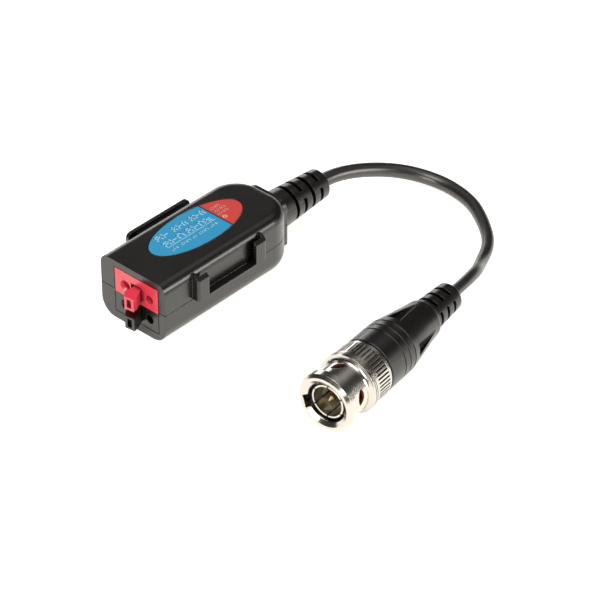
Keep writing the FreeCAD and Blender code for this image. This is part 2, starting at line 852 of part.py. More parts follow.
def ring_sector(inner, outer, station, width, centre_angle, sweep):
    """A piece of a ring round the Y axis, used as a cutter."""
    half = sweep / 2
    loop = []
    steps = 8
    for step in range(steps + 1):
        angle = math.radians(centre_angle - half + sweep * step / steps)
        loop.append(point(outer * math.cos(angle), station, outer * math.sin(angle)))
    for step in range(steps, -1, -1):
        angle = math.radians(centre_angle - half + sweep * step / steps)
        loop.append(point(inner * math.cos(angle), station, inner * math.sin(angle)))
    return Part.Face(Part.makePolygon(loop + loop[:1])).extrude(point(0, width, 0))


def build_window(angle, station, length, tilt):
    """One eye-shaped window, cut through the neck towards the gasket, as a solid."""
    start = nut_bore_radius - 1
    tip = length / 2
    eye = []
    for side in (1, -1):
        eye.append(Part.Arc(point(start, 0, side * tip), point(start, side * window_width / 2, 0),
                            point(start, 0, -side * tip)).toShape())
    window = Part.Face(Part.Wire(eye)).extrude(point(nut_neck_radius + 2 - start, 0, 0))
    window.rotate(point(0, 0, 0), right, tilt)
    window.translate(point(0, station, 0))
    window.rotate(point(0, 0, 0), back, -angle)
    return window


def build_coupling_nut():
    """The turned nut: front ring, neck with bayonet windows, ridges, knurl and rear rim."""
    ridge_start = nut_neck_end + nut_flare + 0.1
    pitch = (ridge_end - ridge_start) / ridge_count
    profile = [(nut_front_chamfer, nut_bore_radius), (0, nut_mouth_radius),
               (0, nut_front_radius - nut_front_chamfer), (nut_front_chamfer, nut_front_radius),
               (nut_front_width - 0.3, nut_front_radius), (nut_front_width, nut_front_radius - 0.3),
               (nut_front_width, nut_neck_radius + 0.3), (nut_front_width + 0.3, nut_neck_radius),
               (nut_neck_end, nut_neck_radius)]
    flare_rise = ridge_radius - 0.1 - nut_neck_radius
    for step in range(1, 5):
        angle = math.radians(90 * step / 5)
        profile.append((nut_neck_end + nut_flare * math.sin(angle),
                        nut_neck_radius + flare_rise * (1 - math.cos(angle))))
    for number in range(ridge_count):
        start = ridge_start + number * pitch
        profile += [(start, ridge_radius), (start + pitch * 0.6, ridge_radius),
                    (start + pitch * 0.8, ridge_radius - ridge_groove)]
    profile += [(ridge_end, knurl_radius), (knurl_end, knurl_radius),
                (knurl_end + 0.25, nut_rear_radius), (nut_length - 0.3, nut_rear_radius),
                (nut_length, nut_rear_radius - 0.3),
                (nut_length, plug_tube_radius + nut_running_clearance),
                (nut_lip_start, plug_tube_radius + nut_running_clearance),
                (nut_lip_start, nut_chamber_radius), (nut_chamber_start, nut_chamber_radius),
                (nut_chamber_start, nut_groove_radius), (nut_groove_start, nut_groove_radius),
                (nut_groove_start, nut_bore_radius)]
    nut = turned(profile)
    cuts = []
    for angle in (keyway_angle, keyway_angle + 180):
        way = box(0, keyway_radius, -1, keyway_end,
                  -keyway_width / 2, keyway_width / 2)
        way.rotate(point(0, 0, 0), back, -angle)
        cuts.append(way)
    for place in window_places:
        cuts.append(build_window(*place))
    groove_width = 2 * math.pi * knurl_radius / knurl_count * 0.45
    for number in range(knurl_count):
        angle = 360 * number / knurl_count
        groove = box(knurl_radius - knurl_depth, knurl_radius + 1, knurl_start, knurl_end - 0.1,
                     -groove_width / 2, groove_width / 2)
        groove.rotate(point(0, 0, 0), back, angle)
        cuts.append(groove)
    return place_plug(nut.cut(cuts))


def build_plug_body():
    """The plug's turned body: slotted outer contact, flange, tube and crimp barrel."""
    profile = [(contact_front, contact_inner_radius), (contact_front, contact_outer_radius - 0.15),
               (contact_front + 0.3, contact_outer_radius), (plug_flange_front, contact_outer_radius),
               (plug_flange_front, plug_flange_radius), (plug_flange_rear, plug_flange_radius),
               (plug_flange_rear, plug_tube_radius), (plug_tube_end, plug_tube_radius),
               (plug_tube_end, crimp_barrel_radius), (crimp_barrel_end, crimp_barrel_radius),
               (crimp_barrel_end, cable_radius + cable_bore_clearance),
               (plug_tube_end - 1, cable_radius + cable_bore_clearance),
               (plug_tube_end - 1, plug_bore_radius), (plug_flange_rear, plug_bore_radius),
               (plug_flange_rear, contact_inner_radius)]
    body = turned(profile)
    slits = []
    for number in range(contact_slit_count):
        slit = box(contact_inner_radius - 1, contact_outer_radius + 1, contact_front - 1, contact_slit_end,
                   -contact_slit_width / 2, contact_slit_width / 2)
        slit.rotate(point(0, 0, 0), back, 360 * (number + 0.5) / contact_slit_count)
        slits.append(slit)
    return place_plug(body.cut(slits))


def build_insulator():
    profile = [(insulator_front, pin_radius + 0.02),
               (insulator_front, insulator_nose_radius),
               (insulator_front + insulator_nose, insulator_nose_radius),
               (insulator_front + insulator_nose, contact_inner_radius - 0.02),
               (plug_flange_rear - 0.02, contact_inner_radius - 0.02),
               (plug_flange_rear - 0.02, plug_bore_radius - 0.02),
               (plug_tube_end - 3, plug_bore_radius - 0.02), (plug_tube_end - 3, pin_radius + 0.02)]
    return place_plug(turned(profile))


def build_centre_pin():
    tip = pin_radius * 0.45
    profile = [(pin_front, 0), (pin_front + 0.1, tip * 0.7), (pin_front + 0.9, pin_radius),
               (pin_rear, pin_radius), (pin_rear, 0)]
    return place_plug(turned(profile))


def build_gasket():
    inner = contact_outer_radius + gasket_bore_clearance
    profile = [(gasket_front, inner), (gasket_front, gasket_radius - 0.15), (gasket_front + 0.15, gasket_radius),
               (plug_flange_front, gasket_radius), (plug_flange_front, inner)]
    return place_plug(turned(profile))


def build_spring_washer():
    """A washer bowed across its width, behind the flange."""
    start = plug_flange_rear + 0.02
    inner = plug_tube_radius + nut_running_clearance
    span = thrust_ring_radius
    arcs = []
    for lift in (0, washer_thickness):
        arcs.append(Part.Arc(point(-span - 1, start + lift, -span - 1), point(0, start + washer_bow + lift, -span - 1),
                             point(span + 1, start + lift, -span - 1)).toShape())
    ends = [Part.makeLine(point(-span - 1, start, -span - 1), point(-span - 1, start + washer_thickness, -span - 1)),
            Part.makeLine(point(span + 1, start + washer_thickness, -span - 1), point(span + 1, start, -span - 1))]
    face = Part.Face(Part.Wire([arcs[0], ends[1], arcs[1], ends[0]]))
    band = face.extrude(point(0, 0, 2 * span + 2))
    tube = cylinder(span, point(0, start - 1, 0), back, 4).cut(cylinder(inner, point(0, start - 2, 0), back, 6))
    return place_plug(band.common(tube))


def build_thrust_ring():
    """A split ring that carries the nut's push to the washer."""
    end = nut_lip_start - 0.02
    start = end - thrust_ring_thickness
    inner = plug_tube_radius + nut_running_clearance
    ring = turned([(start, inner), (start, thrust_ring_radius), (end, thrust_ring_radius), (end, inner)])
    gap = ring_sector(inner - 1, thrust_ring_radius + 1, start - 1, thrust_ring_thickness + 2, 90, thrust_ring_gap)
    return place_plug(ring.cut(gap))


def build_ferrule():
    inner = crimp_barrel_radius + 0.03
    profile = [(ferrule_start, inner), (ferrule_start, ferrule_radius),
               (crimp_barrel_end + 1.5, ferrule_radius), (crimp_barrel_end + 1.5, inner)]
    return place_plug(turned(profile))


def boot_profile():
    """The boot's outside: barrel with grip grooves, taper, round shoulder, then the tail."""
    front = nut_length + boot_clearance
    profile = [(front, boot_front_radius - 0.15), (front + 0.15, boot_front_radius)]
    level = boot_front_radius
    for station, radius in boot_taper:
        profile.append((station, radius))
        level = radius
        for groove in boot_groove_stations:
            if station < groove < station + 2 * boot_groove_reach:
                profile += [(groove - boot_groove / 2, level), (groove - boot_groove / 4, level - boot_groove * 0.6),
                            (groove + boot_groove / 4, level - boot_groove * 0.6), (groove + boot_groove / 2, level)]
    start = boot_taper[-1][0]
    steps = 6
    for step in range(1, steps + 1):
        angle = math.radians(90 * step / steps)
        profile.append((start + (boot_end - start) * math.sin(angle),
                        boot_end_radius + (level - boot_end_radius) * math.cos(angle)))
    return profile + [(boot_end, tail_root_radius), (plug_tail_end - 0.6, tail_tip_radius),
                      (plug_tail_end, tail_tip_radius - 0.5)]


def build_scoop(turn):
    """One wedge-shaped scoop: deep and wide at the front, fading to a point towards the tail."""
    half = boot_scoop_width / 2
    outside = boot_front_radius + 2
    loop = [point(-half, boot_scoop_front, outside),
            point(-half, boot_scoop_front, boot_front_radius - boot_scoop_depth),
            point(-half, boot_scoop_rear, boot_taper[-1][1] + 0.2),
            point(-half, boot_scoop_rear, outside)]
    scoop = Part.Face(Part.makePolygon(loop + loop[:1])).extrude(point(boot_scoop_width, 0, 0))
    plan = [(-half, boot_scoop_front), (half, boot_scoop_front),
            (boot_scoop_tip / 2, boot_scoop_rear), (-boot_scoop_tip / 2, boot_scoop_rear)]
    scoop = scoop.common(prism(plan, 0, outside))
    scoop.rotate(point(0, 0, 0), back, turn)
    return scoop


def build_boot():
    """The moulded boot over the plug's tube and crimp, with its slotted tail."""
    front = nut_length + boot_clearance
    bore = cable_radius + cable_bore_clearance
    profile = [(front, plug_tube_radius + 0.05)] + boot_profile() + [
        (plug_tail_end, bore), (crimp_barrel_end + 2.0, bore),
        (crimp_barrel_end + 2.0, ferrule_radius + 0.05), (plug_tube_end + 0.1, ferrule_radius + 0.05),
        (plug_tube_end + 0.1, plug_tube_radius + 0.05)]
    boot = turned(profile)
    cuts = []
    for number in range(boot_scoop_count):
        cuts.append(build_scoop(360 * number / boot_scoop_count - boot_scoop_turn))
    for number in range(tail_slot_count):
        y0 = boot_end + tail_first_slot + number * tail_slot_pitch
        disc = cylinder(tail_root_radius + 1, point(0, y0, 0), back, tail_slot_width)
        disc = disc.cut(cylinder(tail_core_radius, point(0, y0 - 1, 0), back, tail_slot_width + 2))
        bridge = box(-tail_root_radius - 1, tail_root_radius + 1, y0 - 1, y0 + tail_slot_width + 1,
                     -tail_bridge / 2, tail_bridge / 2)
        bridge.rotate(point(0, 0, 0), back, -tail_bridge_turn)
        cuts.append(disc.cut(bridge))
    return place_plug(boot.cut(cuts))


def build_plug_jacket():
    """The lead's jacket inside the boot, from the crimp to the boot's end."""
    start = plug_tail_end - jacket_in_boot
    jacket = cylinder(cable_radius, point(0, start, 0), back, plug_tail_end - start)
    return place_plug(jacket)


def build_all():
    upper, lower = build_shells()
    nodes = {
        "upper_shell": upper,
        "lower_shell": lower,
        "label": label_ellipse(0, body_height - label_recess, body_height - label_recess + label_thickness),
        "circuit_board": build_board(),
        "transformer_core": build_core(),
        "transformer_winding": build_winding(),
        "surge_diodes": build_diodes(),
        "capacitor": build_capacitor(),
        "strain_relief": build_strain_relief(),
        "housing_cable_end": build_housing_jacket(),
        "housing_cable_core": build_core_tail(),
        "cable": build_cable(),
        "coupling_nut": build_coupling_nut(),
        "plug_body": build_plug_body(),
        "plug_insulator": build_insulator(),
        "centre_pin": build_centre_pin(),
        "gasket": build_gasket(),
        "spring_washer": build_spring_washer(),
        "thrust_ring": build_thrust_ring(),
        "crimp_ferrule": build_ferrule(),
        "plug_boot": build_boot(),
        "plug_cable_end": build_plug_jacket(),
    }
    for index, colour in enumerate(("black", "red")):
        nodes["terminal_" + colour] = build_terminal(index)
        nodes["lever_" + colour] = build_lever(index)
        nodes["contact_" + colour] = build_contact(index)
        nodes["clamp_spring_" + colour] = build_clamp_spring(index)
    return nodes


def main():
    os.makedirs("parts", exist_ok=True)
    for name, shape in build_all().items():
        shape.exportStep("parts/" + name + ".step")
        print(name, "solids", len(shape.Solids), "volume", round(shape.Volume, 2), shape.isValid())


main()
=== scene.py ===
import json
import math

import bpy
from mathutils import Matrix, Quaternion, Vector


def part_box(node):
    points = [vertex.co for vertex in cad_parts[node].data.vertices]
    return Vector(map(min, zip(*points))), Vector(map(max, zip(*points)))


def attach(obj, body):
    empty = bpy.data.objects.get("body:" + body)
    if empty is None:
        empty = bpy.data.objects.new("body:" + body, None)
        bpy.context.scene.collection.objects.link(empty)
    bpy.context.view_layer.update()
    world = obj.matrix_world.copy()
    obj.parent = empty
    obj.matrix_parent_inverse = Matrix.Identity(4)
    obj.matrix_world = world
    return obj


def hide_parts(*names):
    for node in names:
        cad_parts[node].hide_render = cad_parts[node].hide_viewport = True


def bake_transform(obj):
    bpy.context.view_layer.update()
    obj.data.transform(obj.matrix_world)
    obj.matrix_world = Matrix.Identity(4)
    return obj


# A passive video balun with push-lever terminals and a thin lead with a BNC plug.
# Metres. The frame is the CAD's: the origin is the centre of the housing's flat base,
# +Y runs from the terminals to the lead, +Z is up.

MM = 0.001
FRONT_Y = -22.2 * MM
HOUSING_TOP = 16.3 * MM

# The label: an ellipse in a shallow recess of the top, in two fields with a line between
LABEL_CENTRE = Vector((-1.1 * MM, FRONT_Y + 21.9 * MM, 0))
LABEL_TOP = HOUSING_TOP - 0.05 * MM
LABEL_SPLIT_Y = FRONT_Y + 28.4 * MM
LABEL_LINE_HALF_WIDTH = 0.22 * MM
LABEL_BLUE = (0.016, 0.29, 0.53, 1)
LABEL_RED = (0.6, 0.045, 0.035, 1)
LABEL_LINE = (0.02, 0.02, 0.04, 1)
LABEL_ROUGHNESS = 0.42

# Its printed signs: their inks, how far they stand over the film, and their sizes in
# millimetres in two heights
PALE_BLUE_INK = (0.34, 0.62, 0.75)
PALE_RED_INK = (0.72, 0.32, 0.27)
ORANGE_INK = (0.85, 0.6, 0.3)
INK_ROUGHNESS = 0.45
INK_LIFT = 0.012 * MM
INK_THICKNESS = 0.03 * MM
LARGE_SIGNS = {"tall": 1.8, "stroke": 0.32, "gap": 0.45}
SMALL_SIGNS = {"tall": 0.9, "stroke": 0.2, "gap": 0.26}

# Rows of signs in millimetres from the label's centre: how far across the label,
# the start and end along it, and the number of signs
LARGE_ROWS = [
    (-3.1, -10.0, -6.1, 2), (-3.1, -4.6, -0.1, 3), (-3.1, 1.1, 5.7, 3),
    (-0.25, -10.2, -3.8, 3), (-0.25, -2.8, 4.9, 4),
]
SMALL_ROWS = [
    (2.3, -10.2, -8.3, 3), (2.3, -7.3, -4.3, 4), (2.3, -3.5, -2.2, 2),
    (2.3, -1.4, 1.6, 4), (2.3, 2.4, 4.6, 3),
]
FAR_FIELD_ROWS = [(-2.5, 7.2, 10.2, 4), (-1.2, 7.4, 10.8, 4), (0.15, 7.1, 10.4, 4)]
RULE_CENTRE = Vector((1.05, -2.4, 0)) * MM
RULE_HALF_SIZE = (0.09 * MM, 7.8 * MM)
RING_CENTRE = Vector((1.9, 7.7, 0)) * MM
RING_RADIUS = 0.55 * MM
RING_WIDTH = 0.2 * MM
RING_STEPS = 24

# The lead's route: corners of the same runs as the CAD's, and its thickness at each as a
# share of the CAD's
CABLE_RADIUS = 1.6 * MM
CABLE_SWELL = (1.12, 1.12, 1.12, 1.1, 1.06, 1.0, 0.94, 0.9, 0.88, 0.88)
CABLE_STEPS = 16
CABLE_ROUNDING = 6
RELIEF_END = Vector((0, 41.1, 8.3)) * MM
RELIEF_RUN = 6.2 * MM
PLUG_ANGLE = math.radians(6.2)
PLUG_BACK = Vector((-math.sin(PLUG_ANGLE), math.cos(PLUG_ANGLE), 0))
PLUG_FRONT = Vector((56.93, -20.5, 7.45)) * MM
PLUG_LENGTH = 49.3 * MM
PLUG_TAIL = PLUG_FRONT + PLUG_BACK * PLUG_LENGTH
PLUG_RUN = 10.1 * MM
ROUTE = [
    RELIEF_END,
    RELIEF_END + Vector((0, RELIEF_RUN, 0)),
    Vector((5.2, 61.8, 4.5)) * MM,
    Vector((14.3, 68.8, 1.6)) * MM,
    Vector((25.1, 67.7, 1.6)) * MM,
    Vector((32.9, 63.3, 1.6)) * MM,
    Vector((40.4, 56.9, 1.6)) * MM,
    Vector((44.0, 48.9, 1.6)) * MM,
    PLUG_TAIL + PLUG_BACK * PLUG_RUN,
    PLUG_TAIL,
]

# The camera, from a fit of the photograph's perspective
CAMERA_AZIMUTH = math.radians(42.213)
CAMERA_ELEVATION = math.radians(36.846)
CAMERA_DISTANCE = 636.0 * MM
CAMERA_TARGET = Vector((28.168, 3.358, 8.0)) * MM
CAMERA_SENSOR = 36.0
CAMERA_LENS = 167.75
CAMERA_ROLL = math.radians(0.2)
IMAGE_WIDTH = 600
CAMERA_SHIFT = (-0.35 / IMAGE_WIDTH, 0.2 / IMAGE_WIDTH)
CAMERA_NEAR = 0.01
CAMERA_FAR = 10.0

# The clamp springs: a bent strip on edge. Its free leg runs from the knee to the tip
SPRING_THICKNESS = 0.3 * MM
SPRING_KNEE_X = 4.305 * MM
SPRING_TIP = Vector((-3.2 * MM, FRONT_Y + 10.6 * MM))
SPRING_STEPS = 24

# The table: its colour in the light, and the warm white that it shows by itself
TABLE_HALF_SIZE = 1.5
TABLE_COLOUR = (0.8, 0.79, 0.765, 1)
TABLE_GLOW = (0.82, 0.808, 0.783, 1)
TABLE_ROUGHNESS = 0.9
TABLE_GLOSS = 0.1

# The sky: its colour, its bright way, and its strength as (from, to, weakest, strongest)
# over how far a direction points that way
SKY_COLOUR = (1, 0.985, 0.96, 1)
SKY_BRIGHT_WAY = (0.0, 0.1, 1.0)
SKY_RAMP = (0.74, 0.97, 0.05, 1.0)

# Soft boxes: name, place, target, width and height, all in metres, and power in watts
LIGHTS = (
    ("overhead", (0.1, -0.3, 0.85), (0.02, 0, 0), (0.55, 0.35), 4.2),
    ("front_card", (0.35, -0.8, 0.28), (0.02, 0, 0), (0.6, 0.35), 4.6),
    ("left_card", (-0.8, 0.5, 0.2), (0.03, 0, 0.01), (0.6, 0.3), 1.6),
    ("right_card", (0.75, 0.35, 0.2), (0.03, 0, 0.01), (0.35, 0.3), 3.4),
)

# Painted shade in hollows of plastic and grooves of metal: where other faces lie within the
# reach, the colour is painted darker, by the depth's share at most
HOLLOW_SHADE_REACH = 1.3 * MM
HOLLOW_SHADE_DEPTH = 0.35
GROOVE_SHADE_REACH = 0.45 * MM
GROOVE_SHADE_DEPTH = 0.92
SHADER_SAMPLES = 6

# Patches in a finish, in waves to the metre, and their share in its colour and gloss
CLOUDS_PER_METRE = 120.0
CLOUD_TINT = 0.12
CLOUD_GLOSS = 0.08
SMEARS_PER_METRE = 260.0
SMEAR_TINT = 0.1
SPECKS_PER_METRE = 2400.0

# Surface finishes: heights of the grain, rounding of the edges, and a warm gloss
FAINT_GRAIN = 0.002 * MM
SMOOTH_GRAIN = 0.003 * MM
PLAIN_GRAIN = 0.004 * MM
ROUGH_GRAIN = 0.006 * MM
SINTERED_GRAIN = 0.02 * MM
CRISP_EDGE = 0.1 * MM
PLAIN_EDGE = 0.12 * MM
ROUND_EDGE = 0.2 * MM
SOFT_EDGE = 0.22 * MM
METAL_EDGE = 0.08 * MM
METAL_GRAIN = 0.004 * MM
BLACK = (0.0048, 0.0046, 0.0042)
WARM_GLOSS = (1.0, 0.955, 0.9, 1.0)


def new_group(name, inputs, outputs):
    """A shader node group with float, colour or vector sockets, and its two end nodes."""
    group = bpy.data.node_groups.new(name, "ShaderNodeTree")
    kinds = {"f": "NodeSocketFloat", "c": "NodeSocketColor", "v": "NodeSocketVector"}
    for label, kind, value in inputs:
        socket = group.interface.new_socket(label, in_out="INPUT", socket_type=kinds[kind])
        socket.default_value = value
    for label, kind in outputs:
        group.interface.new_socket(label, in_out="OUTPUT", socket_type=kinds[kind])
    start = group.nodes.new("NodeGroupInput")
    end = group.nodes.new("NodeGroupOutput")
    return group, start.outputs, end.inputs


def feed(tree, entry, value):
    """A node's entry takes another node's output, or a plain value."""
    if isinstance(value, bpy.types.NodeSocket):
        tree.links.new(value, entry)
    else:
        entry.default_value = value


def maths(tree, operation, *values):
    """What a Math node makes of its values."""
    node = tree.nodes.new("ShaderNodeMath")
    node.operation = operation
    for entry, value in zip(node.inputs, values):
        feed(tree, entry, value)
    return node.outputs["Value"]


def mixed(tree, share, first, second, blend="MIX"):
    """Two colours, with the second mixed in or multiplied in by its share."""
    node = tree.nodes.new("ShaderNodeMix")
    node.data_type = "RGBA"
    node.blend_type = blend
    for label, value in (("Factor", share), ("A", first), ("B", second)):
        feed(tree, node.inputs[label], value)
    return node.outputs["Result"]


def own_place(group):
    """A point's place on its own piece."""
    return group.nodes.new("ShaderNodeTexCoord").outputs["Object"]


def noise(group, waves, detail):
    """Noise over a piece, with so many waves to the metre."""
    node = group.nodes.new("ShaderNodeTexNoise")
    feed(group, node.inputs["Vector"], own_place(group))
    feed(group, node.inputs["Scale"], waves)
    feed(group, node.inputs["Detail"], detail)
    return node.outputs["Fac"]


def grained_edges(group, edge, height, grain):
    """The normal, with edges rounded off and a grain of some height."""
    rounded = group.nodes.new("ShaderNodeBevel")
    rounded.samples = SHADER_SAMPLES
    feed(group, rounded.inputs["Radius"], edge)
    bump = group.nodes.new("ShaderNodeBump")
    feed(group, bump.inputs["Distance"], height)
    feed(group, bump.inputs["Height"], grain)
    feed(group, bump.inputs["Normal"], rounded.outputs["Normal"])
    return bump.outputs["Normal"]


def painted_hollow_shade(group, colour, reach, depth):
    """The colour with painted shade: made darker where something lies closer than the reach."""
    hollow = group.nodes.new("ShaderNodeAmbientOcclusion")
    hollow.samples = SHADER_SAMPLES
    feed(group, hollow.inputs["Distance"], reach)
    feed(group, hollow.inputs["Color"], colour)
    return mixed(group, depth, hollow.outputs["Color"], hollow.outputs["AO"], "MULTIPLY")


def moulded_group():
    """Moulded plastic or rubber: fine grain, a little uneven gloss, soft edges, painted shade in
    hollows.
    """
    group, start, end = new_group(
        "moulded_surface",
        [("Colour", "c", (0.5, 0.5, 0.5, 1)), ("Roughness", "f", 0.4),
         ("Grains per metre", "f", 2500.0), ("Grain height", "f", PLAIN_GRAIN),
         ("Edge", "f", PLAIN_EDGE), ("Unevenness", "f", CLOUD_GLOSS)],
        [("Colour", "c"), ("Roughness", "f"), ("Normal", "v")])
    grain = noise(group, start["Grains per metre"], 2.0)
    clouds = noise(group, CLOUDS_PER_METRE, 3.0)
    feed(group, end["Normal"], grained_edges(group, start["Edge"], start["Grain height"], grain))
    centred = maths(group, "SUBTRACT", clouds, 0.5)
    uneven = maths(group, "MULTIPLY_ADD", centred, start["Unevenness"], start["Roughness"])
    feed(group, end["Roughness"], uneven)
    tinted = mixed(group, CLOUD_TINT, start["Colour"], clouds, "MULTIPLY")
    # Painted shade: the colour is made darker in the piece's hollows
    feed(group, end["Colour"], painted_hollow_shade(group, tinted, HOLLOW_SHADE_REACH, HOLLOW_SHADE_DEPTH))
    return group


def plated_group():
    """Plated metal: faint handling marks in the gloss, soft edges, and painted shade in grooves.
    """
    group, start, end = new_group(
        "plated_surface",
        [("Colour", "c", (0.8, 0.8, 0.8, 1)), ("Roughness", "f", 0.15), ("Marks", "f", 0.1),
         ("Edge", "f", METAL_EDGE)],
        [("Colour", "c"), ("Roughness", "f"), ("Normal", "v")])
    smears = noise(group, SMEARS_PER_METRE, 4.0)
    specks = noise(group, SPECKS_PER_METRE, 2.0)
    both = maths(group, "MULTIPLY", smears, specks)
    marked = maths(group, "MULTIPLY_ADD", both, start["Marks"], start["Roughness"])
    feed(group, end["Roughness"], marked)
    feed(group, end["Normal"], grained_edges(group, start["Edge"], METAL_GRAIN, specks))
    tinted = mixed(group, SMEAR_TINT, start["Colour"], smears, "MULTIPLY")
    # Painted shade: the colour is made darker in the piece's grooves
    feed(group, end["Colour"], painted_hollow_shade(group, tinted, GROOVE_SHADE_REACH, GROOVE_SHADE_DEPTH))
    return group


def printed_group():
    """Two fields of colour on the label, split across it by a dark line."""
    group, start, end = new_group(
        "two_fields",
        [("Near field", "c", LABEL_BLUE), ("Far field", "c", LABEL_RED),
         ("Line", "c", LABEL_LINE), ("Split", "f", LABEL_SPLIT_Y),
         ("Line half width", "f", LABEL_LINE_HALF_WIDTH)],
        [("Colour", "c")])
    parts = group.nodes.new("ShaderNodeSeparateXYZ")
    feed(group, parts.inputs["Vector"], own_place(group))
    along = parts.outputs["Y"]
    beyond = maths(group, "GREATER_THAN", along, start["Split"])
    fields = mixed(group, beyond, start["Near field"], start["Far field"])
    distance = maths(group, "ABSOLUTE", maths(group, "SUBTRACT", along, start["Split"]))
    on_line = maths(group, "LESS_THAN", distance, start["Line half width"])
    feed(group, end["Colour"], mixed(group, on_line, fields, start["Line"]))
    return group


GROUPS = {"moulded": moulded_group(), "plated": plated_group(), "printed": printed_group()}
FEEDS = {"Colour": "Base Color", "Roughness": "Roughness", "Normal": "Normal"}


def shader_of(material):
    """A material's Principled BSDF."""
    return material.node_tree.nodes["Principled BSDF"]


def new_material(name, shader):
    """A material with plain values on its Principled BSDF."""
    material = bpy.data.materials.new(name)
    material.use_nodes = True
    for label, value in shader.items():
        shader_of(material).inputs[label].default_value = value
    return material


def surface(name, kind, settings, shader):
    """A material where one effect group feeds the Principled BSDF."""
    material = new_material(name, shader)
    effect = material.node_tree.nodes.new("ShaderNodeGroup")
    effect.node_tree = GROUPS[kind]
    for label, value in settings.items():
        effect.inputs[label].default_value = value
    for output in effect.outputs:
        feed(material.node_tree, shader_of(material).inputs[FEEDS[output.name]], output)
    return material


def plastic(name, colour, roughness, grain=PLAIN_GRAIN, grains=2500.0, edge=PLAIN_EDGE, gloss=0.5):
    """A moulded plastic or rubber, with its grain's height and its grains to the metre."""
    settings = {"Colour": (*colour, 1), "Roughness": roughness, "Grain height": grain,
                "Grains per metre": grains, "Edge": edge}
    shader = {"Specular IOR Level": gloss, "Specular Tint": WARM_GLOSS}
    material = surface(name, "moulded", settings, shader)
    material.diffuse_color = (*colour, 1)
    return material


def metal(name, colour, roughness, marks=0.1):
    """A bare or plated metal."""
    settings = {"Colour": (*colour, 1), "Roughness": roughness, "Marks": marks,
                "Edge": METAL_EDGE}
    material = surface(name, "plated", settings, {"Metallic": 1.0})
    material.diffuse_color = (*colour, 1)
    return material


def label_film():
    """The label's film: a blue field and a red one."""
    settings = {"Near field": LABEL_BLUE, "Far field": LABEL_RED, "Line": LABEL_LINE,
                "Split": LABEL_SPLIT_Y, "Line half width": LABEL_LINE_HALF_WIDTH}
    return surface("label_film", "printed", settings, {"Roughness": LABEL_ROUGHNESS})


MATERIALS = {
    "housing_plastic": plastic("housing_plastic", BLACK, 0.28, grain=ROUGH_GRAIN,
                               grains=2600.0, edge=SOFT_EDGE, gloss=0.75),
    "black_plastic": plastic("terminal_plastic", BLACK, 0.3, grain=SMOOTH_GRAIN,
                             grains=3000.0, edge=CRISP_EDGE, gloss=0.75),
    "red_plastic": plastic("red_plastic", (0.82, 0.046, 0.082), 0.33, grain=SMOOTH_GRAIN,
                           grains=3000.0, edge=CRISP_EDGE, gloss=0.95),
    "black_rubber": plastic("boot_rubber", (0.0042, 0.004, 0.0037), 0.3, grain=ROUGH_GRAIN,
                            grains=2600.0, edge=ROUND_EDGE, gloss=0.7),
    "cable_jacket": plastic("cable_jacket", (0.009, 0.0087, 0.008), 0.36,
                            grains=3000.0, edge=CRISP_EDGE, gloss=1.0),
    "red_rubber": plastic("gasket_rubber", (0.2, 0.006, 0.014), 0.35, grain=FAINT_GRAIN),
    "cable_core": plastic("cable_core", (0.8, 0.78, 0.72), 0.5),
    "white_insulator": plastic("plug_insulator", (0.62, 0.56, 0.42), 0.35, grain=FAINT_GRAIN),
    "nickel_plate": metal("nickel_plate", (0.62, 0.582, 0.52), 0.14, marks=0.2),
    "gold_plate": metal("gold_plate", (0.66, 0.52, 0.3), 0.24),
    "spring_steel": metal("spring_steel", (0.6, 0.59, 0.57), 0.25),
    "tinned_metal": metal("tinned_metal", (0.68, 0.67, 0.65), 0.3),
    "board_laminate": plastic("board_laminate", (0.03, 0.2, 0.09), 0.35),
    "ferrite": plastic("ferrite", (0.03, 0.03, 0.032), 0.6, grain=SINTERED_GRAIN),
    "enamelled_wire": metal("enamelled_wire", (0.72, 0.3, 0.12), 0.25),
    "component_glass": plastic("component_body", (0.4, 0.14, 0.04), 0.15),
    "capacitor_coating": plastic("capacitor_coating", (0.6, 0.36, 0.06), 0.25),
    "label_print": label_film(),
}


def dress(frame):
    """Each CAD node takes the material of its slot."""
    slots = {part["node"]: part["material_slot"] for part in frame["record"]["subparts"]}
    for name, piece in frame["nodes"].items():
        piece.data.materials.clear()
        piece.data.materials.append(MATERIALS[slots[name]])


def build_cable():
    """The lead on one smooth curve between the two strain reliefs."""
    curve = bpy.data.curves.new("lead", "CURVE")
    curve.dimensions = "3D"
    curve.resolution_u = CABLE_STEPS
    curve.bevel_depth = CABLE_RADIUS
    curve.bevel_resolution = CABLE_ROUNDING
    curve.use_fill_caps = True
    spline = curve.splines.new("NURBS")
    spline.points.add(len(ROUTE) - 1)
    # The lead lies on the table, however thick it is
    for knot, corner, swell in zip(spline.points, ROUTE, CABLE_SWELL):
        knot.co = (corner.x, corner.y, max(corner.z, swell * CABLE_RADIUS), 1)
        knot.radius = swell
    spline.order_u = 3
    spline.use_endpoint_u = True
    curve.materials.append(MATERIALS["cable_jacket"])
    piece = bpy.data.objects.new("lead", curve)
    bpy.context.scene.collection.objects.link(piece)
    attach(piece, "housing")
    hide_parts("cable")


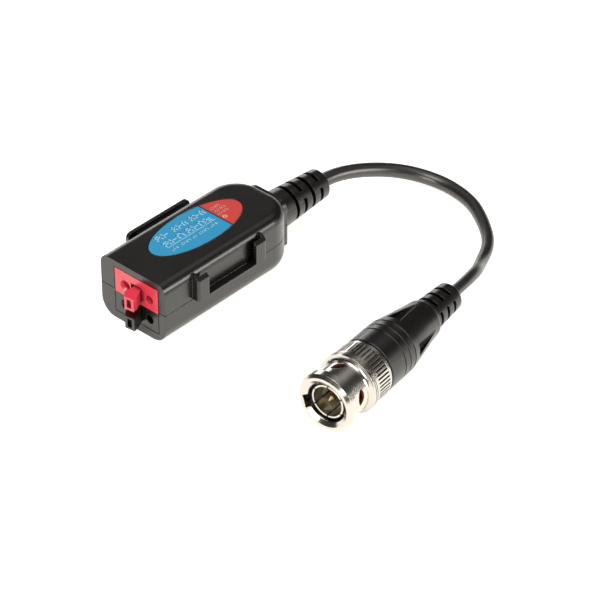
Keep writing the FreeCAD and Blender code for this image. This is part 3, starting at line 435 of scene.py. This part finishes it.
def build_clamp_spring(node):
    """A clamp spring in fine steps, held at its wall leg."""
    low, high = (Vector(corner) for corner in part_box(node))
    half = SPRING_THICKNESS / 2
    wall_x, front = high.x - half, low.y + half
    knee = Vector((SPRING_KNEE_X, front))
    path = [Vector((wall_x, high.y)), Vector((wall_x, front))]
    path += [knee.lerp(SPRING_TIP, step / SPRING_STEPS) for step in range(SPRING_STEPS + 1)]
    vertices, faces = [], []
    for number, spot in enumerate(path):
        before = (spot - path[number - 1]).normalized() if number else None
        after = (path[number + 1] - spot).normalized() if number + 1 < len(path) else None
        before, after = before or after, after or before
        way = (before + after).normalized()
        side = Vector((-way.y, way.x)) * half / way.dot(after)
        for corner in (spot + side, spot - side):
            vertices += [(corner.x, corner.y, low.z), (corner.x, corner.y, high.z)]
    for first in range(0, 4 * (len(path) - 1), 4):
        a, b, c, d = range(first, first + 4)
        for one, other in ((a, b), (b, d), (d, c), (c, a)):
            faces.append((one, other, other + 4, one + 4))
    last = 4 * (len(path) - 1)
    faces += [(0, 2, 3, 1), (last, last + 1, last + 3, last + 2)]
    mesh = bpy.data.meshes.new(node + "_strip")
    mesh.from_pydata(vertices, [], faces)
    mesh.update()
    mesh.materials.append(MATERIALS["spring_steel"])
    piece = bpy.data.objects.new(node + "_strip", mesh)
    bpy.context.scene.collection.objects.link(piece)
    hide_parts(node)
    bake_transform(piece)


def flat_mesh(name, loops, z, thickness):
    """Flat closed shapes in plan, with a little thickness, as one mesh."""
    vertices, faces = [], []
    for loop in loops:
        first = len(vertices)
        count = len(loop)
        vertices += [(x, y, z - thickness) for x, y in loop]
        vertices += [(x, y, z) for x, y in loop]
        faces.append([first + count + i for i in range(count)])
        faces.append([first + count - 1 - i for i in range(count)])
        for i in range(count):
            j = (i + 1) % count
            faces.append([first + i, first + j, first + count + j, first + count + i])
    mesh = bpy.data.meshes.new(name)
    mesh.from_pydata(vertices, [], faces)
    mesh.update()
    piece = bpy.data.objects.new(name, mesh)
    bpy.context.scene.collection.objects.link(piece)
    return piece


def bar(x, y, half_x, half_y):
    """The corners of a bar about its middle."""
    return [(x - half_x, y - half_y), (x + half_x, y - half_y),
            (x + half_x, y + half_y), (x - half_x, y + half_y)]


def ring(x, y, radius, width, steps):
    """A ring as a row of short bars, so each loop stays convex."""
    loops = []
    for step in range(steps):
        turn, onward = (2 * math.pi * (step + end) / steps for end in (0, 1))
        loops.append([(x + size * math.cos(angle), y + size * math.sin(angle))
                      for angle, size in ((turn, radius - width), (turn, radius),
                                          (onward, radius), (onward, radius - width))])
    return loops


def word_marks(across, start, end, count, tall, stroke, gap):
    """A word's place: letter-sized signs of an upright and one or two short strokes."""
    loops = []
    wide = (end - start - gap * (count - 1)) / count
    x = LABEL_CENTRE.x + across * MM
    for number in range(count):
        y = LABEL_CENTRE.y + (start + number * (wide + gap)) * MM
        side = 1 if number % 2 else -1
        loops.append(bar(x, y + stroke / 2 * MM, tall / 2 * MM, stroke / 2 * MM))
        if number % 3 != 1:
            loops.append(bar(x + side * (tall - stroke) / 2 * MM, y + wide / 2 * MM,
                             stroke / 2 * MM, wide / 2 * MM))
        if number % 3 != 2:
            loops.append(bar(x, y + wide / 2 * MM, stroke / 2 * MM, wide / 2 * MM))
        if number % 2 == 0:
            loops.append(bar(x, y + (wide - stroke / 2) * MM, tall / 2 * MM, stroke / 2 * MM))
    return loops


def ink(name, colour, loops):
    """Printed signs of one colour, on the label's film."""
    piece = flat_mesh(name, loops, LABEL_TOP + INK_LIFT, INK_THICKNESS)
    material = new_material(name, {"Base Color": (*colour, 1), "Roughness": INK_ROUGHNESS})
    piece.data.materials.append(material)
    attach(piece, "housing")


def build_label_marks():
    """Generic signs in rows where the real label has its words."""
    loops = []
    for row in LARGE_ROWS:
        loops += word_marks(*row, **LARGE_SIGNS)
    for row in SMALL_ROWS:
        loops += word_marks(*row, **SMALL_SIGNS)
    rule = LABEL_CENTRE + RULE_CENTRE
    loops.append(bar(rule.x, rule.y, *RULE_HALF_SIZE))
    ink("label_marks", PALE_BLUE_INK, loops)
    loops = []
    for row in FAR_FIELD_ROWS:
        loops += word_marks(*row, **SMALL_SIGNS)
    ink("label_red_marks", PALE_RED_INK, loops)
    middle = LABEL_CENTRE + RING_CENTRE
    ink("label_ring", ORANGE_INK,
        ring(middle.x, middle.y, RING_RADIUS, RING_WIDTH, RING_STEPS))


def add_light(name, location, target, size, power):
    """A white soft box at a place, turned to a target."""
    data = bpy.data.lights.new(name, "AREA")
    data.shape = "RECTANGLE"
    data.size, data.size_y = size
    data.energy = power
    light = bpy.data.objects.new(name, data)
    light.location = location
    light.rotation_mode = "QUATERNION"
    light.rotation_quaternion = (Vector(target) - Vector(location)).to_track_quat("-Z", "Y")
    bpy.context.scene.collection.objects.link(light)


def build_stage():
    """A wide white table."""
    half = TABLE_HALF_SIZE
    mesh = bpy.data.meshes.new("table")
    mesh.from_pydata([(-half, -half, 0), (half, -half, 0), (half, half, 0), (-half, half, 0)], [],
                     [(0, 1, 2, 3)])
    table = bpy.data.objects.new("table", mesh)
    bpy.context.scene.collection.objects.link(table)
    material = new_material("table_white", {
        "Base Color": TABLE_COLOUR, "Roughness": TABLE_ROUGHNESS,
        "Specular IOR Level": TABLE_GLOSS, "Emission Color": TABLE_GLOW})
    # The glow is there to be seen, directly or in a polished face, and lights nothing
    tree = material.node_tree
    rays = tree.nodes.new("ShaderNodeLightPath").outputs
    seen = maths(tree, "MAXIMUM", rays["Is Camera Ray"], rays["Is Glossy Ray"])
    seen = maths(tree, "MAXIMUM", seen, rays["Is Transmission Ray"])
    feed(tree, shader_of(material).inputs["Emission Strength"], seen)
    mesh.materials.append(material)


def build_world():
    """Soft daylight from high up, falling off towards the horizon."""
    world = bpy.data.worlds.new("studio")
    world.use_nodes = True
    tree = world.node_tree
    background = tree.nodes["Background"]
    background.inputs["Color"].default_value = SKY_COLOUR
    place = tree.nodes.new("ShaderNodeTexCoord")
    along = tree.nodes.new("ShaderNodeVectorMath")
    along.operation = "DOT_PRODUCT"
    feed(tree, along.inputs[0], place.outputs["Generated"])
    feed(tree, along.inputs[1], SKY_BRIGHT_WAY)
    strength = tree.nodes.new("ShaderNodeMapRange")
    strength.interpolation_type = "SMOOTHSTEP"
    feed(tree, strength.inputs["Value"], along.outputs["Value"])
    for label, value in zip(("From Min", "From Max", "To Min", "To Max"), SKY_RAMP):
        feed(tree, strength.inputs[label], value)
    feed(tree, background.inputs["Strength"], strength.outputs["Result"])
    bpy.context.scene.world = world


def build_lights():
    """The sky and the soft boxes."""
    build_world()
    for light in LIGHTS:
        add_light(*light)


def build_camera():
    """The camera at the photograph's angle."""
    azimuth, elevation = CAMERA_AZIMUTH, CAMERA_ELEVATION
    back = Vector((math.sin(azimuth) * math.cos(elevation),
                   -math.cos(azimuth) * math.cos(elevation), math.sin(elevation)))
    data = bpy.data.cameras.new("camera")
    data.sensor_width = CAMERA_SENSOR
    data.lens = CAMERA_LENS
    data.clip_start = CAMERA_NEAR
    data.clip_end = CAMERA_FAR
    data.dof.use_dof = False
    data.shift_x, data.shift_y = CAMERA_SHIFT
    camera = bpy.data.objects.new("camera", data)
    camera.location = CAMERA_TARGET + back * CAMERA_DISTANCE
    camera.rotation_mode = "QUATERNION"
    roll = Quaternion((0, 0, 1), CAMERA_ROLL)
    camera.rotation_quaternion = (-back).to_track_quat("-Z", "Y") @ roll
    bpy.context.scene.collection.objects.link(camera)
    bpy.context.scene.camera = camera


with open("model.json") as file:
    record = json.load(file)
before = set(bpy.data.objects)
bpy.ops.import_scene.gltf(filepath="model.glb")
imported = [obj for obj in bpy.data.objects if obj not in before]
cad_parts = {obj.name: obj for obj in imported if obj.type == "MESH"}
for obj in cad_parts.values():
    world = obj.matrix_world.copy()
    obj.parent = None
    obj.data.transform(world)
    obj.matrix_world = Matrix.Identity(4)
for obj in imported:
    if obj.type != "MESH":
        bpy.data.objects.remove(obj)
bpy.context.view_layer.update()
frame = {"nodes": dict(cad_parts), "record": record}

dress(frame)
build_cable()
build_clamp_spring("clamp_spring_red")
build_clamp_spring("clamp_spring_black")
build_label_marks()
build_stage()
build_lights()
build_camera()

bpy.context.scene.view_settings.view_transform = "Standard"
